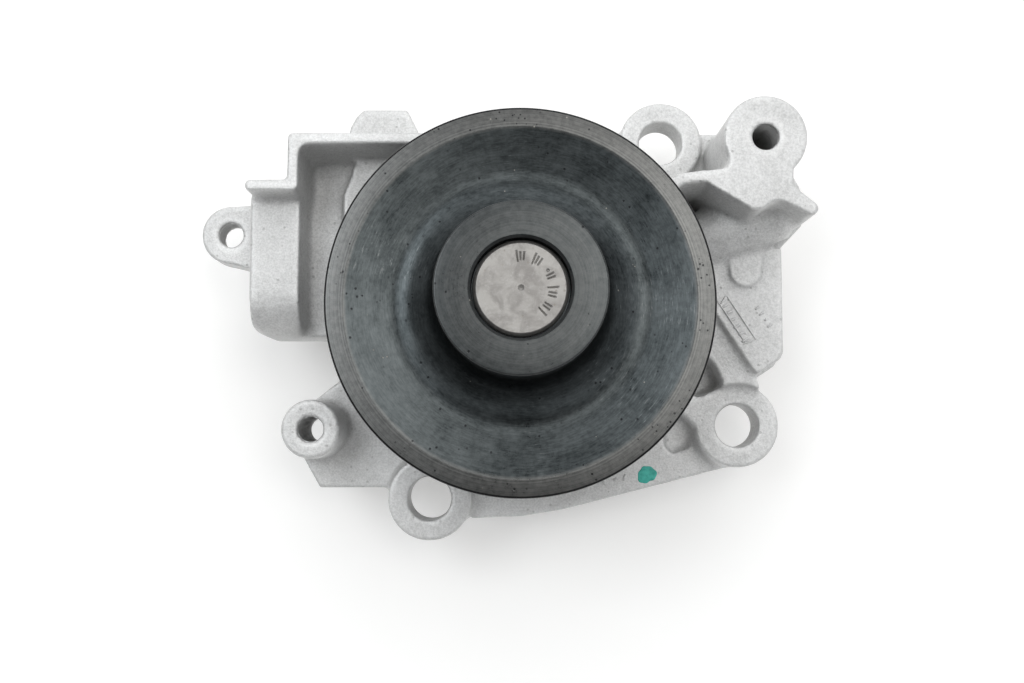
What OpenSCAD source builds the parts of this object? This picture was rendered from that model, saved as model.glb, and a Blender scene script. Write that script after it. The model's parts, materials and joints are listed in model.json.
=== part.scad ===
// Engine water pump: a die-cast body bolted to the block, a sealed shaft bearing,
// a smooth belt pulley at the front and a coolant impeller at the back.
// The pump axis is Z. Z = 0 is the mounting face, +Z points to the pulley.

/* [Casting heights] */
// Thickness of the base plate
plate_t = 5; // [4:0.25:7]
// Thickness of the three mounting ears
ear_t = 9; // [8.5:0.25:12]
// Height of the shelf beside the right chamber
shelf_top = 11; // [9.5:0.25:12]
// Height of the floor beside the left chamber
floor_top = 12; // [11:0.25:14]
// Height of the curved ledge around the pulley
ledge_top = 17; // [14:0.25:20]
// Height of the left chamber
left_block_top = 21.5; // [18:0.25:26]
// Height of the right chamber
right_block_top = 12.5; // [11.5:0.25:15]
// Height of the sealing wall and of the tall boss
wall_top = 29; // [25:0.25:35]
// Thickness of the sealing wall
wall_t = 2.3; // [1.8:0.1:3]
// Radius of the sealing wall's middle line around the pulley
wall_arc_r = 37.4; // [37.4:0.1:38]
// Thickness of the chamber walls
chamber_wall = 2.4; // [2:0.1:3]

/* [Mounting points] */
// Centre of the upper ear
ear_upper = [29.5, 37]; // [-60:0.1:60]
// Centre of the right ear
ear_right = [44.6, -21.8]; // [-60:0.1:60]
// Centre of the lower ear
ear_lower = [-18.3, -36.6]; // [-60:0.1:60]
// Outside radius of an ear
ear_r = 8.6; // [7.5:0.1:9.2]
// Radius of the clearance hole in an ear
ear_hole_r = 4.4; // [4:0.05:5.3]
// Centre of the side ear
side_ear = [-60.3, 18]; // [-70:0.1:70]
// Outside radius of the side ear
side_ear_r = 6.1; // [5:0.1:7]
// Thickness of the side ear
side_ear_t = 7; // [5:0.25:9]
// Centre of the tall boss
tall_boss = [47.3, 33.4]; // [-60:0.1:60]
// Outside radius of the tall boss
tall_boss_r = 8.1; // [6:0.1:9]
// Depth of the threaded hole in the tall boss
tall_hole_depth = 18; // [10:0.5:24]
// Centre of the low boss
low_boss = [-41.4, -22.6]; // [-60:0.1:60]
// Outside radius of the low boss
low_boss_r = 5.9; // [5:0.1:7]
// Height of the low boss
low_boss_top = 17.6; // [12:0.2:24]
// Radius of the three threaded holes
thread_r = 2.5; // [2:0.05:3.4]

/* [Bearing] */
// Radius of the shaft
shaft_r = 7.959; // [6:0.001:8.5]
// Outside radius of the bearing
bearing_r = 15; // [12.5:0.1:16]
// Length of the bearing
bearing_len = 38.9; // [34:0.1:47]
// Distance between the two ball rows
row_gap = 20; // [14:0.5:22]
// Thickness of the outer ring at the bottom of its ball grooves
ring_wall = 1.26; // [1:0.01:1.5]
// Running clearance of a ball in its groove
ball_gap = 0.04; // [0.02:0.01:0.08]
// Wall of the bearing nose around the bearing
nose_wall = 3.6; // [2.5:0.1:5]

/* [Pulley] */
// Radius of the belt face
pulley_r = 35; // [29:0.1:35.6]
// Width of the belt face
pulley_w = 28; // [20:0.5:29]
// Height of the front edge of the rim
rim_front = 43.8; // [43.8:0.1:50]
// Thickness of the rim
rim_t = 3.2; // [2.5:0.1:4.5]
// Thickness of the web
web_t = 3.8; // [3:0.1:5]
// Depth of the dish below the rim
dish_depth = 1.8; // [0.5:0.1:2]
// Radius of the hub
hub_r = 14.4; // [12:0.1:17]
// Height of the hub's front face
hub_front = 62.5; // [56:0.1:75]
// Radius of the fillet between the hub and the dish
hub_fillet = 8; // [4:0.1:9]
// Width of the ring gap between the shaft end and the hub
shaft_ring_gap = 0.3; // [0.1:0.05:0.8]
// Depth of the shaft end below the hub's face
shaft_sink = 0.8; // [0.2:0.1:3]

/* [Shaft seal] */
// Radius of the seal bore
seal_r = 15; // [14:0.1:16]
// Depth of the seal bore
seal_depth = 6; // [5.5:0.1:9]
// Wall of the seal boss around the seal bore
seal_boss_wall = 4.5; // [3.8:0.1:5]
// Thickness of the pressed seal cup
cup_t = 0.8; // [0.5:0.05:1]
// Width of the seal cup's flange
cup_flange_w = 3; // [2:0.1:3.5]
// Length of the seal's carbon nose below the boss
carbon_reach = 2.5; // [2:0.1:4]
// Thickness of the ceramic seat
seat_t = 3.5; // [2.5:0.1:5]
// Outside radius of the ceramic seat
seat_r = 13; // [12.4:0.1:13.6]

/* [Impeller] */
// Radius of the impeller
impeller_r = 29; // [26:0.1:30.5]
// Length of the bush below the seat, which is the depth of the impeller's back
insert_len = 3; // [2.5:0.1:6]
// Thickness of the impeller's disc
disc_t = 2; // [1.5:0.1:2.5]
// Vanes on the impeller
vane_count = 7; // [5:1:9]
// Thickness of a vane
vane_t = 1.8; // [1.2:0.1:2.4]
// Radius of the recess that the impeller turns in
volute_r = 31.5; // [30.8:0.1:32]
// Depth of that recess
volute_depth = 2; // [1.5:0.1:2.5]

/* [Gasket] */
// Width of the gasket groove
gasket_w = 2; // [1.4:0.1:2.2]
// Depth of the gasket groove
gasket_d = 1.5; // [1:0.1:1.8]
// Land between the wet openings and the groove
gasket_land = 1; // [0.8:0.1:1.2]

/* [Hidden] */
$fn = 64;
eps = 0.01;

// Pulley, whose web sets the place of the bearing behind it
rim_back = rim_front - pulley_w;
web_front = rim_front - dish_depth;
web_back = web_front - web_t;
ring_flat = 3.4;
rim_chamfer = 0.5;
hub_counterbore_d = 3;
bore_chamfer = 0.45;

// Bearing
bearing_front = web_back + 0.2;
hub_back = bearing_front + 1;
bearing_back = bearing_front - bearing_len;
bearing_mid = bearing_front - bearing_len / 2;
front_row_z = bearing_mid + row_gap / 2;
rear_row_z = bearing_mid - row_gap / 2;
groove_depth = 0.56;
shaft_groove_r = shaft_r - groove_depth;
ring_groove_r = bearing_r - ring_wall;
pitch_r = (ring_groove_r + shaft_groove_r) / 2;
ball_r = (ring_groove_r - shaft_groove_r) / 2 - ball_gap;
groove_r = ball_r * 1.05;
ring_bore_r = ring_groove_r - ball_r * 0.48;
bearing_seal_t = 1.8;
bearing_seal_inset = 0.6;
lip_gap = 0.06;
cage_inner_r = shaft_r + ball_r / 2;
cage_outer_r = ring_bore_r - 0.6;
cage_pocket_gap = 0.12;
cage_post = 1.6;
cage_back = ball_r * 0.45;
cage_front = ball_r * 1.25;
ball_count = floor(180 / asin((ball_r + cage_post / 2) / pitch_r));

// Bearing nose of the casting
nose_r = bearing_r + nose_wall;
nose_top = bearing_front - 1.4;
nose_foot_r = nose_r + 7;
nose_foot_top = 13.5;
shoulder_t = 1.5;
shoulder_bottom = bearing_back - shoulder_t;
weep_r = 1.4;
rib_count = 6;
rib_t = 3;
rib_reach = 34;

// Shaft seal: what lies between the shaft and the cup shares the space between them
cup_top = shoulder_bottom;
seal_boss_back = cup_top - seal_depth;
seal_boss_r = seal_r + seal_boss_wall;
flange_back = seal_boss_back - cup_t;
seal_space = seal_r - cup_t - shaft_r;
cup_bore_r = shaft_r + seal_space * 0.38;
carbon_r = [shaft_r + seal_space * 0.22, shaft_r + seal_space * 0.6];
carbon_back = seal_boss_back - carbon_reach;
carbon_len = 2.9;
carbon_top = carbon_back + carbon_len;
face_film = 0.03;
seat_top = carbon_back - face_film;
seat_back = seat_top - seat_t;
boot_t = 1;
boot_back = seat_back - boot_t;
bellows_r = shaft_r + seal_space * 0.3;
bellows_t = 1;
socket_t = 0.7;
socket_skirt = 1.4;
spring_wire_r = 0.4;
spring_r = seal_r - cup_t - spring_wire_r - 0.5;
spring_turns = 2.5;
retainer_t = 0.7;
retainer_back = carbon_top - socket_skirt - retainer_t;
slinger_t = 0.5;
slinger_r = bearing_r - 3;

// Impeller
impeller_back = boot_back - insert_len;
vane_top = volute_depth - 0.8;
vane_inner_r = seal_boss_r + 1.3;
collar_r = seat_r + boot_t + 2.2;
insert_r = shaft_r + 2.6;
shaft_end = impeller_back + 0.4;

// Right lip: a web under the tall boss with a pointed end
lip_start = [31, 25.2];
lip_bend = [35.6, 25.8];
lip_low = [45.4, 22];
lip_low_r = 2.9;
lip_tip = [56, 19.5];
duct_start = [31, 14.6, 8.6];
duct_end = [53, 21, 15];
duct_r = [6, 5.2];
pad_centre = [46.1, 9.6];
pad_rise = 0.8;

// Left chamber and its flange
left_block_min = [-53.2, -3.9];
left_block_max = [-43.2, 25];
left_leg_y = 24;
left_wall_x = -43.6;
upper_wall_y = 33.1;
wall_corner_r = 2;
// how far the base plate stays inside the foot of an ear or boss
foot_inset = 0.15;
ledge_x = -35.6;
pocket_depth = 1.2;
left_cavity = [[-51, 0], [-36, 21.5]];
right_cavity = [[41.6, -4], [50, 12.5]];
channels = [[[left_cavity[1][0] - 1, 6], [-22, 18]], [[24, -2], [right_cavity[0][0] + 1, 8]]];

// Bar in the plane with round ends: radius ra at a, rb at b
module bar(a, b, ra, rb) {
    run = norm(b - a);
    lean = asin((ra - rb) / run);
    side = 0.985;
    translate(a) rotate(atan2(b[1] - a[1], b[0] - a[0])) {
        circle(ra);
        translate([run, 0]) circle(rb);
        polygon([[ra * sin(lean), -ra * cos(lean) * side], [run + rb * sin(lean), -rb * cos(lean) * side],
                 [run + rb * sin(lean), rb * cos(lean) * side], [ra * sin(lean), ra * cos(lean) * side]]);
    }
}

// Flat ring from radius inner to radius outer
module ring(inner, outer) {
    difference() {
        circle(outer);
        circle(inner);
    }
}

// Tube about the pump axis from height low to height high
module tube(inner, outer, low, high) {
    translate([0, 0, low]) linear_extrude(high - low) ring(inner, outer);
}

// Wedge about the pump axis between two angles, long enough to cut the casting
module wedge(from, to) {
    reach = 90;
    mid = (from + to) / 2;
    polygon([[0, 0], reach * [cos(from), sin(from)], 1.3 * reach * [cos(mid), sin(mid)],
             reach * [cos(to), sin(to)]]);
}

// Rectangle between two corners with corner radius r
module round_box(low, high, r) {
    translate(low + [r, 0]) square(high - low - [2 * r, 0]);
    translate(low + [0, r]) square(high - low - [0, 2 * r]);
    for (x = [low[0] + r, high[0] - r])
        for (y = [low[1] + r, high[1] - r]) translate([x, y]) circle(r);
}

// Area of the mounting face that the coolant wets, grown by g
module wet_area(g) {
    circle(volute_r + g);
    round_box(left_cavity[0] - [g, g], left_cavity[1] + [g, g], 1 + g);
    round_box(right_cavity[0] - [g, g], right_cavity[1] + [g, g], 1 + g);
    for (c = channels) translate(c[0] - [0, g]) square(c[1] - c[0] + [0, 2 * g]);
}

// Outline of the base plate
module plate_outline() {
    circle(wall_arc_r + wall_t / 2 + 0.3);
    for (c = [ear_upper, ear_right, ear_lower]) bar(c, 0.55 * c, ear_r - foot_inset, ear_r + 1.5);
    // lower edge between the lower and the right ear
    polygon([[-10, -20], [-9.8, -41], [0.5, -40.6], [9, -39.2], ear_right + [1, -8], [45, -14]]);
    // arm that carries the low boss
    bar(low_boss, 0.6 * low_boss, low_boss_r - foot_inset, low_boss_r + 3);
    polygon([[-20, -20], [-44, -20], [-46.2, -26.2], [-41.4, -34.6], [-20, -34.6]]);
    // flange of the left chamber
    polygon([[-55, 0], [-53.6, -2.6], [-51, -3.6], [-20, -3.6], [-10, 36.2], [-47.6, 36.2], [-47.6, 28],
             [-56, 28], [-56, 8]]);
    // corner under the tall boss and the right lip
    polygon([[30, 10], [54.2, 14.6], [59.8, 20.4], [59.8, 25], [57.4, 31], [42, 40], [36, 40], [24, 20]]);
    bar(tall_boss, 0.8 * tall_boss, tall_boss_r - foot_inset, tall_boss_r);
    // flange of the right chamber
    polygon([[30, -14], [49.6, -18], [48.8, -12.4], [53.4, -9.4], [55.1, -6], [55.1, 16], [30, 16]]);
}

// Raised shelf between the right chamber and the right ear
module shelf_outline() {
    difference() {
        polygon([[36, -6.4], [38.2, -7.6], [40, -9.7], [41.3, -12.5], [42, -17], [50, -17], [48.5, -11.9],
                 [47, 14], [35, 14]]);
        translate(ear_right) circle(ear_r - foot_inset);
    }
}

// Sealing wall: a leg on the left chamber, two straights and an arc behind the pulley
module sealing_wall_outline() {
    h = wall_t / 2;
    bar([-51.7, left_leg_y], [left_wall_x, left_leg_y], h, h);
    bar([left_wall_x, left_leg_y], [left_wall_x, upper_wall_y], h, h);
    bar([left_wall_x, upper_wall_y], [-16.6, upper_wall_y], h, h);
    intersection() {
        ring(wall_arc_r - h, wall_arc_r + h);
        wedge(39, 117);
    }
    // rounded inner corner
    translate([left_wall_x + h, upper_wall_y - h - wall_corner_r]) difference() {
        translate([-eps, 0]) square([wall_corner_r + eps, wall_corner_r + eps]);
        translate([wall_corner_r, 0]) circle(wall_corner_r);
    }
}

// Ledge between the sealing wall and the pulley, with a step down to the floor on its left
module ledge_outline() {
    bend = [-31.7, 29.6];
    difference() {
        union() {
            polygon([[ledge_x, left_block_min[1]], [-24, left_block_min[1]], [-12, upper_wall_y],
                     [bend[0], upper_wall_y], [bend[0] - 2, bend[1]], [bend[0] - 2.2, bend[1] - 1],
                     [ledge_x, 24.5]]);
            translate(bend) circle(2);
        }
        circle(wall_arc_r - wall_t / 2);
    }
}

// Right lip and the tall boss that it runs into
module lip_outline() {
    h = wall_t / 2;
    bar([28.9, 23.6], lip_start, h, h);
    bar(lip_start, lip_bend, h, h);
    translate(tall_boss) circle(tall_boss_r);
    translate(lip_low) circle(lip_low_r);
    polygon([[35.4, 26.8], [35.4, 24.8], [37.6, 23.3], [43.7, 19.7], [47.6, 20.2], [50.4, 21.4],
             [52.6, 24.6], [52.8, 33], [41, 34], [39.8, 27.4]]);
    bar([50.8, 22.8], lip_tip, 2, 1.3);
}

// Left chamber: rounded corners in plan and a rounded lower end
module left_block() {
    end_r = 8;
    size = left_block_max - left_block_min;
    intersection() {
        linear_extrude(left_block_top) round_box(left_block_min, left_block_max, 2.6);
        translate([left_block_min[0] - 1, left_block_min[1], 0]) rotate([90, 0, 90])
            linear_extrude(size[0] + 2) {
                translate([end_r, 0]) square([size[1], left_block_top]);
                square([size[1], left_block_top - end_r]);
                translate([end_r, left_block_top - end_r]) circle(end_r);
            }
    }
}

// Low block on the right with a cut lower corner
module right_block() {
    linear_extrude(right_block_top) {
        polygon([[36.8, 5.4], [40.3, 0.1], [46.8, -9.8], [48.3, -11.5], [51.8, -9.2], [53.7, -6.6],
                 [53.7, 14.6], [34, 14.6]]);
        translate([51.1, -6.6]) circle(2.6);
    }
    translate([0, 0, right_block_top - 1]) linear_extrude(1 + pad_rise) bar(pad_centre, [46.2, 16], 3.3, 4);
}

// Tapered coolant duct that runs out below the lip
module duct() {
    run = duct_end - duct_start;
    rise = atan2(run[2], norm([run[0], run[1]]));
    nose = 3;
    translate(duct_start) rotate([0, 90 - rise, atan2(run[1], run[0])]) {
        cylinder(norm(run), duct_r[0], duct_r[1]);
        translate([0, 0, norm(run)]) cylinder(nose, duct_r[1], duct_r[1] - nose);
    }
}

// Hollow parts of the casting, all open at the mounting face
module coolant_space() {
    translate([0, 0, -eps]) {
        // recess around the seal boss
        linear_extrude(volute_depth + eps) ring(seal_boss_r, volute_r);
        // wide part of the left chamber, then its tall part
        linear_extrude(floor_top - chamber_wall) round_box(left_cavity[0], left_cavity[1], 1);
        linear_extrude(left_block_top - chamber_wall)
            round_box([left_cavity[0][0], 4], [left_block_max[0] - chamber_wall, left_cavity[1][1]], 1);
        linear_extrude(right_block_top - chamber_wall) round_box(right_cavity[0], right_cavity[1], 1);
        // shallow channels between the recess and the chambers
        linear_extrude(volute_depth + eps)
            for (c = channels) translate(c[0]) square(c[1] - c[0]);
    }
}

// Ribs from the bearing nose to the rim of the base plate
module ribs() {
    for (i = [0 : rib_count - 1]) rotate(i * 360 / rib_count + 15)
        translate([nose_r - 1, -rib_t / 2, 0]) cube([rib_reach - nose_r + 1, rib_t, nose_foot_top - 2.5]);
}

module housing() {
    color("gainsboro") difference() {
        union() {
            linear_extrude(plate_t) plate_outline();
            for (c = [ear_upper, ear_right, ear_lower]) translate(c) cylinder(ear_t, r = ear_r);
            linear_extrude(shelf_top) shelf_outline();
            // rib from the right ear to the bearing nose, and the upper lug
            linear_extrude(ear_t) bar(ear_right, 0.7 * ear_right, 5.4, 2.4);
            linear_extrude(ear_t)
                polygon([[-36, 33], [-17.8, 33], [-23.4, 44.2], [-32.5, 44.2], [-34, 42.8], [-35.4, 40.2]]);
            // floor and ledge on the left
            linear_extrude(floor_top)
                polygon([[left_block_min[0] + 4, left_block_min[1]], [-24, left_block_min[1]],
                         [-24, upper_wall_y], [left_wall_x, upper_wall_y], [left_wall_x, left_leg_y],
                         [-50, left_leg_y]]);
            linear_extrude(ledge_top) ledge_outline();
            left_block();
            right_block();
            linear_extrude(wall_top) sealing_wall_outline();
            linear_extrude(wall_top) lip_outline();
            linear_extrude(20)
                polygon([[50, 22], [56, 20], [56.8, 23], [55.6, 25.9], [53.8, 29], [50, 29]]);
            duct();
            linear_extrude(side_ear_t) bar(side_ear, [-53, 17.4], side_ear_r, side_ear_r + 1.2);
            translate(low_boss) cylinder(low_boss_top, r = low_boss_r);
            // bearing nose with its flared foot, and the seal boss behind
            cylinder(nose_top, r = nose_r);
            translate([0, 0, plate_t - 1]) cylinder(nose_foot_top - plate_t + 1, nose_foot_r, nose_r);
            translate([0, 0, seal_boss_back]) cylinder(volute_depth + 1 - seal_boss_back, r = seal_boss_r);
            ribs();
        }
        for (c = [ear_upper, ear_right, ear_lower])
            translate([c[0], c[1], -1]) cylinder(ear_t + 2, r = ear_hole_r);
        translate([side_ear[0], side_ear[1], -1]) cylinder(side_ear_t + 2, r = thread_r);
        translate([low_boss[0], low_boss[1], -1]) cylinder(low_boss_top + 2, r = thread_r);
        translate([tall_boss[0], tall_boss[1], wall_top - tall_hole_depth])
            cylinder(tall_hole_depth + 1, r = thread_r);
        // pockets beside the rib
        translate([0, 0, plate_t - pocket_depth]) linear_extrude(shelf_top) {
            polygon([[33, -14.6], [36.8, -15.9], [40, -14.6], [41.3, -12.5], [40, -9.7], [38.2, -7.6],
                     [33, -6.4]]);
            polygon([[30.2, -25.8], [31.8, -27.5], [35, -26.4], [36.3, -24.6], [36.2, -22.2],
                     [33.4, -19.3], [30.6, -20]]);
        }
        // bearing bore, shoulder and seal bore
        translate([0, 0, bearing_back]) cylinder(nose_top - bearing_back + 1, r = bearing_r);
        translate([0, 0, shoulder_bottom - 1]) cylinder(shoulder_t + 2, r = slinger_r + 0.8);
        translate([0, 0, seal_boss_back - 1]) cylinder(seal_depth + 1, r = seal_r);
        // weep hole from the slinger space to the dry side
        translate([0, -slinger_r, shoulder_bottom + shoulder_t / 2]) rotate([50, 0, 0])
            cylinder(20, r = weep_r);
        coolant_space();
        translate([0, 0, -eps]) linear_extrude(gasket_d + eps) difference() {
            wet_area(gasket_land + gasket_w);
            wet_area(gasket_land);
        }
    }
}

module back_gasket() {
    color("dimgray") linear_extrude(gasket_d) difference() {
        wet_area(gasket_land + gasket_w);
        wet_area(gasket_land);
    }
}

module bearing_outer_ring() {
    color("silver") difference() {
        tube(ring_bore_r, bearing_r, bearing_back, bearing_front);
        for (z = [front_row_z, rear_row_z])
            translate([0, 0, z]) rotate_extrude() translate([ring_groove_r - groove_r, 0]) circle(groove_r);
    }
}

// Lip seal pressed into one end of the bearing, with its inner face at height z
module bearing_seal(z) {
    tube(shaft_r + 1.1, ring_bore_r, z, z + bearing_seal_t);
    tube(shaft_r + lip_gap, shaft_r + 1.2, z + 0.5, z + bearing_seal_t - 0.5);
}

module front_bearing_seal() {
    color("darkslategray") bearing_seal(bearing_front - bearing_seal_inset - bearing_seal_t);
}

module rear_bearing_seal() {
    color("darkslategray") bearing_seal(bearing_back + bearing_seal_inset);
}

// Ring of balls at height z
module ball_row(z) {
    for (i = [0 : ball_count - 1]) rotate(i * 360 / ball_count) translate([pitch_r, 0, z]) sphere(ball_r);
}

// Snap cage: a ring with one open pocket for each ball
module cage(z) {
    difference() {
        tube(cage_inner_r, cage_outer_r, z - cage_back, z + cage_front);
        for (i = [0 : ball_count - 1]) rotate(i * 360 / ball_count)
            translate([pitch_r, 0, z]) sphere(ball_r + cage_pocket_gap);
    }
}

module front_balls() { color("white") ball_row(front_row_z); }

module rear_balls() { color("white") ball_row(rear_row_z); }

module front_cage() { color("tan") cage(front_row_z); }

module rear_cage() { color("tan") cage(rear_row_z); }

module shaft() {
    chamfer = 0.6;
    top = hub_front - shaft_sink;
    color("lightgray") difference() {
        union() {
            translate([0, 0, shaft_end]) cylinder(top - chamfer - shaft_end, r = shaft_r);
            translate([0, 0, top - chamfer]) cylinder(chamfer, shaft_r, shaft_r - chamfer);
        }
        for (z = [front_row_z, rear_row_z]) translate([0, 0, z]) rotate_extrude()
            translate([shaft_groove_r + groove_r, 0]) circle(groove_r);
        translate([0, 0, top - 0.5]) cylinder(0.6, 0, 0.6);
    }
}

// Cup-shaped pulley: rim, dished web, filleted hub
module pulley() {
    inner_r = pulley_r - rim_t;
    dish_r = pulley_r - ring_flat;
    fillet_r = hub_r + hub_fillet;
    color("darkslategray") difference() {
        rotate_extrude() {
            // rim with its flat front ring
            polygon([[inner_r, rim_back], [pulley_r - rim_chamfer, rim_back],
                     [pulley_r, rim_back + rim_chamfer], [pulley_r, rim_front - rim_chamfer],
                     [pulley_r - rim_chamfer, rim_front], [dish_r, rim_front], [inner_r - 1, web_back]]);
            // web that falls from the ring to the foot of the fillet
            polygon([[hub_r, hub_back], [inner_r, web_back], [dish_r, rim_front],
                     [fillet_r + 3, web_front + 0.3], [fillet_r, web_front], [hub_r, web_front]]);
            difference() {
                translate([hub_r - 1, web_front - 1]) square(hub_fillet + 1);
                translate([fillet_r, web_front + hub_fillet]) circle(hub_fillet);
            }
            translate([0, hub_back]) square([hub_r, hub_front - hub_back]);
        }
        translate([0, 0, hub_back - 1]) cylinder(hub_front, r = shaft_r);
        translate([0, 0, hub_front - hub_counterbore_d])
            cylinder(hub_counterbore_d + 1, r = shaft_r + shaft_ring_gap);
        translate([0, 0, hub_front - bore_chamfer])
            cylinder(bore_chamfer, shaft_r + shaft_ring_gap, shaft_r + shaft_ring_gap + bore_chamfer);
        // room for the end of the bearing
        translate([0, 0, web_back - 5]) cylinder(hub_back - web_back + 5, r = bearing_r + 1.4);
    }
}

// Thin disc that throws leaked coolant into the weep hole
module slinger() {
    mid = (bearing_back + shoulder_bottom) / 2;
    color("silver") tube(shaft_r, slinger_r, mid - slinger_t / 2, mid + slinger_t / 2);
}

module seal_cup() {
    color("goldenrod") {
        tube(cup_bore_r, seal_r, cup_top - cup_t, cup_top);
        tube(seal_r - cup_t, seal_r, flange_back, cup_top - cup_t);
        tube(seal_r, seal_r + cup_flange_w, flange_back, seal_boss_back);
    }
}

// Rubber sleeve with one fold, and a socket that holds the carbon face
module seal_bellows() {
    top = cup_top - cup_t;
    fold_z = (top + carbon_top) / 2;
    socket_top = carbon_top + bellows_t;
    color("black") rotate_extrude() {
        translate([bellows_r, socket_top - eps]) square([bellows_t, top - socket_top + eps]);
        translate([bellows_r, top - bellows_t]) square([spring_r + spring_wire_r - bellows_r, bellows_t]);
        translate([bellows_r + bellows_t, fold_z + 0.6]) circle(0.8);
        translate([bellows_r, carbon_top]) square([carbon_r[1] + socket_t - bellows_r, bellows_t]);
        translate([carbon_r[1], carbon_top - socket_skirt]) square([socket_t, socket_skirt + eps]);
    }
}

// Helical spring around the bellows, between its flange and the retainer
module seal_spring() {
    top = cup_top - cup_t - bellows_t - spring_wire_r - 0.05;
    bottom = retainer_back + retainer_t + spring_wire_r + 0.05;
    steps = 60;
    sides = 8;
    points = [for (i = [0 : steps], k = [0 : sides - 1])
        let (turn = 360 * spring_turns * i / steps, a = 360 * k / sides,
             r = spring_r + spring_wire_r * cos(a))
        [r * cos(turn), r * sin(turn), bottom + (top - bottom) * i / steps + spring_wire_r * sin(a)]];
    walls = [for (i = [0 : steps - 1], k = [0 : sides - 1], half = [0, 1])
        let (a = i * sides + k, b = i * sides + (k + 1) % sides)
        half == 0 ? [a, b, b + sides] : [a, b + sides, a + sides]];
    first = [for (k = [sides - 1 : -1 : 0]) k];
    last = [for (k = [0 : sides - 1]) steps * sides + k];
    color("silver") polyhedron(points, concat(walls, [first, last]));
}

// Ring that carries the spring and pushes the socket's skirt and the carbon face down
module seal_retainer() {
    color("silver") tube(carbon_r[1], spring_r + spring_wire_r, retainer_back, retainer_back + retainer_t);
}

module carbon_face() {
    color("dimgray") tube(carbon_r[0], carbon_r[1], carbon_back, carbon_top);
}

module ceramic_seat() {
    color("ivory") tube(shaft_r + 0.6, seat_r, seat_back, seat_top);
}

module seat_boot() {
    color("black") {
        tube(shaft_r, seat_r + boot_t, boot_back, seat_back);
        tube(seat_r, seat_r + boot_t, seat_back, seat_top - 1);
    }
}

// Steel bush moulded into the impeller and pressed on the shaft
module impeller_hub() {
    color("silver") tube(shaft_r, insert_r, impeller_back, boot_back);
}

// Curved vane: the part of an off-centre ring that lies between two radii
module vane() {
    bend_r = 17;
    intersection() {
        ring(vane_inner_r, impeller_r - 0.3);
        translate([impeller_r - bend_r + 1, -bend_r / 2]) ring(bend_r - vane_t, bend_r);
        wedge(0, 80);
    }
}

module impeller() {
    color("saddlebrown") {
        tube(insert_r, impeller_r, impeller_back, impeller_back + disc_t);
        tube(insert_r, collar_r, impeller_back, boot_back);
        tube(seat_r + boot_t, collar_r, boot_back - eps, seat_top - 1.2);
        translate([0, 0, impeller_back + disc_t - eps])
            linear_extrude(vane_top - impeller_back - disc_t + eps)
            for (i = [0 : vane_count - 1]) rotate(i * 360 / vane_count) vane();
    }
}

housing();
back_gasket();
bearing_outer_ring();
front_bearing_seal();
rear_bearing_seal();
seal_cup();
seal_bellows();
seal_spring();
seal_retainer();
carbon_face();
shaft();
pulley();
slinger();
impeller();
impeller_hub();
ceramic_seat();
seat_boot();
front_balls();
front_cage();
rear_balls();
rear_cage();
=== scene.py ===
import bpy, bmesh, json, math
import numpy as np
import openvdb as vdb
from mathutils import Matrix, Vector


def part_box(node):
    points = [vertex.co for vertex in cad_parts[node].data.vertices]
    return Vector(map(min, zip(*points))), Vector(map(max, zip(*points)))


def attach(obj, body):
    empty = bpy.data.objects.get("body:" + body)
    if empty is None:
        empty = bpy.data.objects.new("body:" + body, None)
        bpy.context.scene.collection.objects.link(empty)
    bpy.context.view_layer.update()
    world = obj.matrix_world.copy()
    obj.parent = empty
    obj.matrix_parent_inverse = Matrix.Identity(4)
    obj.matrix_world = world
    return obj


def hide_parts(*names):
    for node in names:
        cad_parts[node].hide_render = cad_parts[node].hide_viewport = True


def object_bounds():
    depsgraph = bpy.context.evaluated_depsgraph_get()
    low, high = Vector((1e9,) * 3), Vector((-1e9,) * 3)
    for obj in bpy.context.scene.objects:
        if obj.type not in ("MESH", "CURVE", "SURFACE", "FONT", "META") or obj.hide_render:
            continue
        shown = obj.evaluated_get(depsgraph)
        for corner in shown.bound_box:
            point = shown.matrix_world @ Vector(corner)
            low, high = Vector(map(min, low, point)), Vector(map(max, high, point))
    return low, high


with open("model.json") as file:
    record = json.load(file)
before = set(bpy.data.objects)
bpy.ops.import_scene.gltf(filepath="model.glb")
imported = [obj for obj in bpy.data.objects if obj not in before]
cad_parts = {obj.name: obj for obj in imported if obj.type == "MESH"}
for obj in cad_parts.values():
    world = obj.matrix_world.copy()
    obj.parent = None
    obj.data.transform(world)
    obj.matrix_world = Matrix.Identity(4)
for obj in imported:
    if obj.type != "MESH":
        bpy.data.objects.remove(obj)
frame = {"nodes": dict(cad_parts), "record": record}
nodes = frame["nodes"]
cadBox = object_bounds()
scene = bpy.context.scene
mm = 0.001
print("frame loaded:", len(nodes), "nodes")


class Wire:  # one output socket of a node, so that shader maths reads as plain sums
    def __init__(self, graph, socket):
        self.graph, self.socket = graph, socket

    def math(self, operation, a, b=0.0):
        return self.graph.add("ShaderNodeMath", {"operation": operation}, {0: a, 1: b})

    def __add__(self, other): return self.math("ADD", self, other)
    def __radd__(self, other): return self.math("ADD", other, self)
    def __sub__(self, other): return self.math("SUBTRACT", self, other)
    def __rsub__(self, other): return self.math("SUBTRACT", other, self)
    def __mul__(self, other): return self.math("MULTIPLY", self, other)
    def __rmul__(self, other): return self.math("MULTIPLY", other, self)
    def __truediv__(self, other): return self.math("DIVIDE", self, other)
    def root(self): return self.math("SQRT", self)
    def above(self, other): return self.math("GREATER_THAN", self, other)
    def highest(self, other): return self.math("MAXIMUM", self, other)
    def output(self, name): return Wire(self.graph, self.socket.node.outputs[name])

    def between(self, low, high, start=0.0, end=1.0):  # smooth step from start at low to end at high
        return self.graph.add("ShaderNodeMapRange", {"interpolation_type": "SMOOTHSTEP"},
                              {"Value": self, "From Min": low, "From Max": high,
                               "To Min": start, "To Max": end})


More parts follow.
